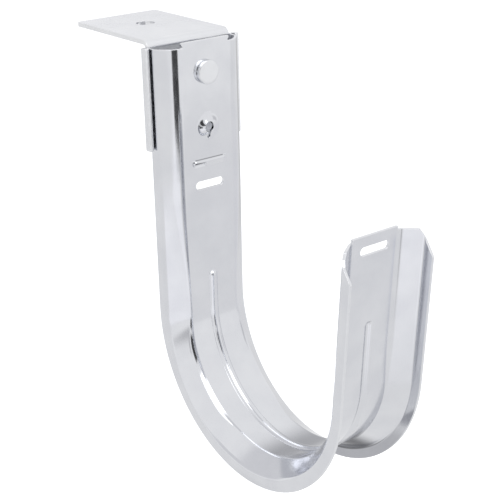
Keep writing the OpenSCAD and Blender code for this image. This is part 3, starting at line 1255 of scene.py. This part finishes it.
@dataclass
class Studio:
    """Floor, lamps, boards, room and camera.

    Attributes:
        camera_at: Where the camera stands.
        azimuth: Its bearing in degrees.
        elevation: Its height angle in degrees.
        roll: Its roll in degrees.
        lens: Its focal length in millimetres.
        sensor: The width of its sensor in millimetres.
        floor_z: The floor's level.
        floor_front: Where the floor ends in front.
        floor_reach: How far it runs to the back and to the sides.
        floor_in_metal: Its brightness in polished metal.
        floor_glow: What lifts it to white for the camera.
        room_colour: Colour of the room's light.
        room_light: Brightness of the room's light.
    """

    camera_at: tuple[float, float, float] = (-0.3119, -0.47905, 0.11133)
    azimuth: float = -37.658
    elevation: float = 21.524
    roll: float = -1.302
    lens: float = 89.44
    sensor: float = 36.0
    floor_z: float = -0.42
    floor_front: float = -1.24
    floor_reach: float = 5.0
    floor_in_metal: float = 0.92
    floor_glow: float = 0.5
    room_colour: tuple[float, float, float] = (0.9, 0.91, 0.93)
    room_light: float = 0.8

    def camera(self) -> None:
        """Sets the camera."""
        bearing, roll = math.radians(self.azimuth), math.radians(self.roll)
        back = toward(self.azimuth, self.elevation)
        right = Vector((math.cos(bearing), math.sin(bearing), 0))
        up = back.cross(right)
        rolled_right = math.cos(roll) * right + math.sin(roll) * up
        rolled_up = -math.sin(roll) * right + math.cos(roll) * up
        data = bpy.data.cameras.new("camera")
        data.lens = self.lens
        data.sensor_width = self.sensor
        data.clip_start, data.clip_end = 0.01, 20
        cam = linked("camera", data)
        turn = Matrix((rolled_right, rolled_up, back)).transposed().to_4x4()
        cam.matrix_world = Matrix.Translation(self.camera_at) @ turn
        bpy.context.scene.camera = cam

    def world(self) -> None:
        """Lights the room plainly, and shows it white to the camera and in the metal."""
        world = bpy.data.worlds.new("room")
        tree = cleared(world)
        out, room, white, path, either, mix = add(
            tree, "OutputWorld", "Background", "Background", "LightPath", "Math", "MixShader")
        preset(room, {"Color": (*self.room_colour, 1), "Strength": self.room_light})
        preset(white, {"Color": (1, 1, 1, 1)})
        either.operation = "MAXIMUM"
        wire(tree, (path, "Is Camera Ray", either, 0), (path, "Is Glossy Ray", either, 1),
             (either, 0, mix, "Fac"), (room, 0, mix, 1), (white, 0, mix, 2), (mix, 0, out, "Surface"))
        bpy.context.scene.world = world

    def floor(self) -> None:
        """Lays the pale floor well under the hanging hook."""
        mesh = bpy.data.meshes.new("floor")
        r, front, z = self.floor_reach, self.floor_front, self.floor_z
        mesh.from_pydata([(-r, front, z), (r, front, z), (r, r, z), (-r, r, z)], [], [(0, 1, 2, 3)])
        mat = bpy.data.materials.new("pale_floor")
        tree = cleared(mat)
        out, paint, glow, both, white, mix = add(
            tree, "OutputMaterial", "BsdfDiffuse", "Emission", "AddShader", "Emission", "MixShader")
        path, seen = add(tree, "LightPath", "Math")
        preset(paint, {"Color": (0.86, 0.86, 0.87, 1)})
        preset(white, {"Color": (*(self.floor_in_metal,) * 3, 1)})
        seen.operation = "MULTIPLY"
        preset(seen, {1: self.floor_glow})
        wire(tree, (path, "Is Camera Ray", seen, 0), (seen, 0, glow, "Strength"), (paint, 0, both, 0),
             (glow, 0, both, 1), (path, "Is Glossy Ray", mix, "Fac"), (both, 0, mix, 1),
             (white, 0, mix, 2), (mix, 0, out, "Surface"))
        mesh.materials.append(mat)
        obj = linked("floor", mesh)

    def build(self) -> None:
        """Sets up the whole studio."""
        self.world()
        self.floor()
        for box in (
            SoftBox("front_softbox", -12, 60, (1.45, 1.5), 1.33),
            SoftBox("back_softbox", 150, 62, (1.2, 1.0), 1.03, mirrored=False),
        ):
            box.build()
        for flag in (
            Flag("front_flag_low", (-29, 8), (-27, -3), 0.05, 0.12),
            Flag("front_flag_high", (-29, 8), (1, 23), 0.05, 0.15),
            Flag("right_flag", (48, 74), (-8, 12), 0.7, 0.6),
            Flag("left_flag", (-52, -33), (-6, 12), 0.6, 0.7),
            Flag("back_card", (128, 160), (3, 17), 1.03),
            Flag("back_left_flag", (-186, -100), (2, 50), 0.8),
            Flag("near_back_flag", (108, 186), (-42, 38), 0.5, 0.9, 0.28),
            Mat("ceiling_card", (-0.32, 0.32), (-0.4, 0.32), 0.78, 0.4, level=1.0),
            Mat("floor_shadow", (-0.2, 0.18), (-0.11, 0.2), 0.24, 0.5),
            Mat("front_left_card", (-0.95, -0.06), (-1.24, -0.35), 1.1, 0.5),
            Mat("front_mat", (-0.14, 0.0), (-1.22, -0.6), 0.55, 0.6, level=-0.4),
            # Painted shadow: this mat stands for the hook's shadow on the floor straight below it, as the
            # metal shows it.
            Mat("under_shadow", (-0.038, 0.015), (-0.125, -0.03), 0.58, 0.4, level=-0.2),
            Mat("right_mat", (0.15, 1.6), (-1.3, 0.6), 0.86, 0.8),
        ):
            flag.build()
        self.camera()
        bpy.context.scene.view_settings.view_transform = "Standard"


# ---------------------------------------------------------------- build

class Piece(Enum):
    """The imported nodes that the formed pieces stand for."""

    HOOK = "hook"
    BRACKET = "bracket"
    RIVET = "rivet"


def fit(obj: bpy.types.Object, piece: Piece, finish: bpy.types.Material) -> None:
    """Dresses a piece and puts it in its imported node's place.

    Args:
        obj: The new piece.
        piece: The node that it stands for.
        finish: Its material.
    """
    obj.data.materials.append(finish)
    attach(obj, "root")
    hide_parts(piece.value)
    LOG.info("%s: %d faces", obj.name, len(obj.data.polygons))


def main() -> None:
    """Builds every piece, then the studio."""
    logging.basicConfig(level=logging.INFO, format="%(message)s")
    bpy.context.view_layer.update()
    groups = EffectGroups()
    strap = PlatedSteel("plated_strap")
    bracket = PlatedSteel("plated_bracket", (0.78, 0.79, 0.815), (0.745, 0.755, 0.785), 0.2, 0.28,
                          rubbed_and_highlight=(0.86, 0.865, 0.88))
    rivet = PlatedSteel("plated_rivet", (0.77, 0.78, 0.805), (0.74, 0.75, 0.775), 0.13, 0.2)
    fit(Strap().build(), Piece.HOOK, strap.material(groups))
    fit(Bracket().build(), Piece.BRACKET, bracket.material(groups))
    fit(Rivet().build(), Piece.RIVET, rivet.material(groups))
    Studio().build()


if __name__ == "__main__":
    main()
